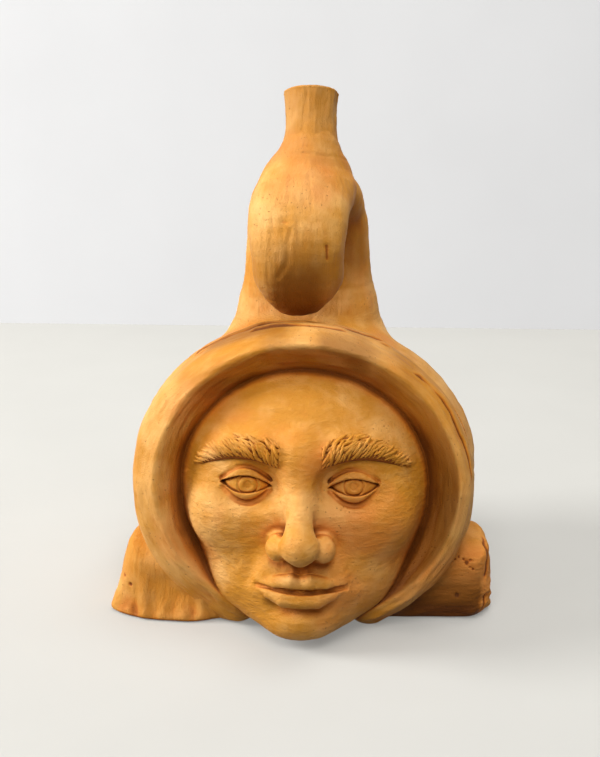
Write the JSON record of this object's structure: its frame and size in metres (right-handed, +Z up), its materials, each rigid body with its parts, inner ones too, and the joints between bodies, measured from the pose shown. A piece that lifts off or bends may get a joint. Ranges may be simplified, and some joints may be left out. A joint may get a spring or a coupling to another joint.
{
  "type": "face jug",
  "caption": "Hand-built unglazed terracotta jug with a hooded face on its round chamber, stub feet, a broad hollow stirrup handle and a leaning flared spout.",
  "frame": {"origin": "centre of the base slab's underside, on the surface the jug stands on", "axes": "+Z up, the face looks along -Y, +X to the right for someone who looks at the face"},
  "size_m": [0.2059, 0.195, 0.2738],
  "materials": {
    "vessel_clay": "hand-wiped matt ochre terracotta with soft facets and tool marks",
    "front_clay": "smoothed matt ochre terracotta, orange in the hollows",
    "foot_clay": "rough wiped terracotta with pits and chips"
  },
  "bodies": {
    "root": {"chamber_wall": "vessel_clay", "rear_neck": "vessel_clay", "front_limb": "vessel_clay", "spout": "vessel_clay", "hood_roll": "front_clay", "face_mask": "front_clay", "nose": "front_clay", "left_eyeball": "front_clay", "right_eyeball": "front_clay", "left_upper_lid": "front_clay", "left_lower_lid": "front_clay", "right_upper_lid": "front_clay", "right_lower_lid": "front_clay", "left_brow": "front_clay", "right_brow": "front_clay", "upper_lip": "front_clay", "lower_lip": "front_clay", "base_slab": "foot_clay", "left_foot": "foot_clay", "right_foot": "foot_clay"}
  },
  "joints": []
}
